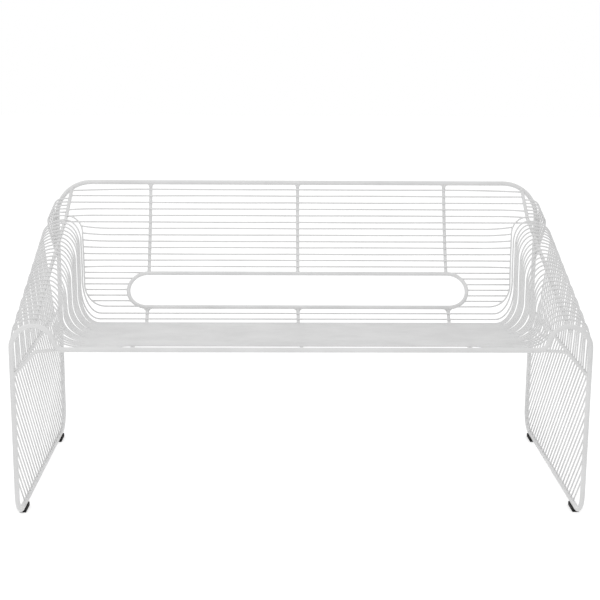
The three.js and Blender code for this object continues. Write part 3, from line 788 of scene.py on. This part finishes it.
def rounded(corner_x, corner_z, radius, start):
    """A quarter circle from the angle start, anticlockwise, in the pad's cross-section."""
    angle = start + np.linspace(0, np.pi / 2, 6)
    return np.stack([corner_x + radius * np.cos(angle), corner_z + radius * np.sin(angle)], -1)


def pad(y):
    """The right pad at y: a cross-section, with rounded corners and a hollow for the rail along
    its top, carried along the rail. At each inset from an end it shrinks to that share of its
    size about its middle, but not below the floor; the second half mirrors the first."""
    half = PAD_WIDE / 2
    lip = np.arcsin((RAIL_Z - PAD_HIGH) / (ROD / 2))
    hollow = np.linspace(-lip, -np.pi + lip, 16)
    section = np.concatenate([
        rounded(half - PAD_CORNER, PAD_CORNER, PAD_CORNER, -np.pi / 2),
        rounded(half - PAD_RIM, PAD_HIGH - PAD_RIM, PAD_RIM, 0),
        np.stack([ROD / 2 * np.cos(hollow), RAIL_Z + ROD / 2 * np.sin(hollow)], -1),
        rounded(-half + PAD_RIM, PAD_HIGH - PAD_RIM, PAD_RIM, np.pi / 2),
        rounded(-half + PAD_CORNER, PAD_CORNER, PAD_CORNER, np.pi),
    ])
    at = END_INSET - PAD_LONG / 2
    at = np.concatenate([at, -at[-2::-1]])
    size = np.concatenate([END_SIZE, END_SIZE[-2::-1]])
    middle = np.array([0, PAD_HIGH * PAD_MIDDLE])
    flat = middle + (section - middle) * size[:, None, None]
    flat[..., 1] = np.where(section[:, 1] <= 0, np.maximum(flat[..., 1], 0), flat[..., 1])
    across = np.array([RAIL_DIRECTION[1], -RAIL_DIRECTION[0], 0])
    points = np.array([side_x(y), y, 0]) + at[:, None, None] * RAIL_DIRECTION
    points = points + flat[..., :1] * across + flat[..., 1:] * [0, 0, 1]
    return skin(points[:, ::-1])


for end, y in (("front", PAD_FROM_LEG), ("rear", DEPTH - PAD_FROM_LEG)):
    points, quads, ends = pad(y)
    for side, sign in SIDES.items():
        shape = (on_side(points, sign), quads[:, ::sign], ends[:, ::sign])
        name = f"foot_{end}_{side}"
        piece(name, [shape], RUBBER, "black_rubber", f"foot_pad_{end}_{side}")

# ---- Floor and light ----------------------------------------------------------------------
# A plain white floor in a plain white room, which only the camera and reflections see at full
# white. The room's even grey lights the bench, with a broad soft box overhead and a small low
# one in front that lifts the legs and side panels.
FLOOR_HALF = 8
FLOOR_Z = -0.0002

corners = np.array([[-1, -1, 0], [1, -1, 0], [1, 1, 0], [-1, 1, 0]]) * FLOOR_HALF + [0, 0, FLOOR_Z]
floor_mesh = bpy.data.meshes.new("floor")
floor_mesh.from_pydata(corners.tolist(), [], [(0, 1, 2, 3)])
floor = bpy.data.objects.new("floor", floor_mesh)
bpy.context.scene.collection.objects.link(floor)


def seen_directly(tree):
    """1 where the camera sees the surface, straight or through gloss or glass; otherwise 0."""
    path = node(tree, "ShaderNodeLightPath")
    either = node(tree, "ShaderNodeMath", operation="MAXIMUM")
    tree.links.new(path.outputs["Is Camera Ray"], either.inputs[0])
    tree.links.new(path.outputs["Is Glossy Ray"], either.inputs[1])
    all_three = node(tree, "ShaderNodeMath", operation="MAXIMUM")
    tree.links.new(either.outputs[0], all_three.inputs[0])
    tree.links.new(path.outputs["Is Transmission Ray"], all_three.inputs[1])
    return all_three


floor_paint = bpy.data.materials.new("white floor")
floor_paint.use_nodes = True
tree = floor_paint.node_tree
tree.nodes.remove(tree.nodes["Principled BSDF"])
output = tree.nodes["Material Output"]
matte = node(tree, "ShaderNodeBsdfDiffuse", Color=(0.95, 0.95, 0.95, 1))
bright = node(tree, "ShaderNodeEmission", Color=(1, 1, 1, 1), Strength=0.45)
both = node(tree, "ShaderNodeAddShader")
tree.links.new(matte.outputs[0], both.inputs[0])
tree.links.new(bright.outputs[0], both.inputs[1])
pick = node(tree, "ShaderNodeMixShader")
tree.links.new(seen_directly(tree).outputs[0], pick.inputs[0])
tree.links.new(matte.outputs[0], pick.inputs[1])
tree.links.new(both.outputs[0], pick.inputs[2])
tree.links.new(pick.outputs[0], output.inputs["Surface"])
floor_mesh.materials.append(floor_paint)

world = bpy.data.worlds.new("room")
bpy.context.scene.world = world
world.use_nodes = True
tree = world.node_tree
fill = tree.nodes["Background"]
fill.inputs["Color"].default_value = (1, 1, 1, 1)
fill.inputs["Strength"].default_value = 0.70
white = node(tree, "ShaderNodeBackground", Color=(1, 1, 1, 1), Strength=1.0)
pick = node(tree, "ShaderNodeMixShader")
tree.links.new(seen_directly(tree).outputs[0], pick.inputs[0])
tree.links.new(fill.outputs[0], pick.inputs[1])
tree.links.new(white.outputs[0], pick.inputs[2])
tree.links.new(pick.outputs[0], tree.nodes["World Output"].inputs["Surface"])


def soft_lamp(name, at, aim, size, watts):
    """A square soft box at one point, turned to another."""
    lamp = bpy.data.objects.new(name, bpy.data.lights.new(name, "AREA"))
    lamp.data.size = size
    lamp.data.energy = watts
    forward = np.array(aim, float) - at
    forward /= np.linalg.norm(forward)
    nearly_up = [0, 0.02, 1]
    right = np.cross(forward, nearly_up)
    right /= np.linalg.norm(right)
    stand(lamp, at, right, np.cross(right, forward), forward)


soft_lamp("overhead soft box", at=(-1.0, -0.4, 3.1), aim=(0, 0, 0.3), size=2.6, watts=9)
soft_lamp("low front soft box", at=(-0.4, -2.3, 0.2), aim=(0, 0, 0.12), size=0.8, watts=3)

bpy.context.scene.view_settings.view_transform = "Standard"
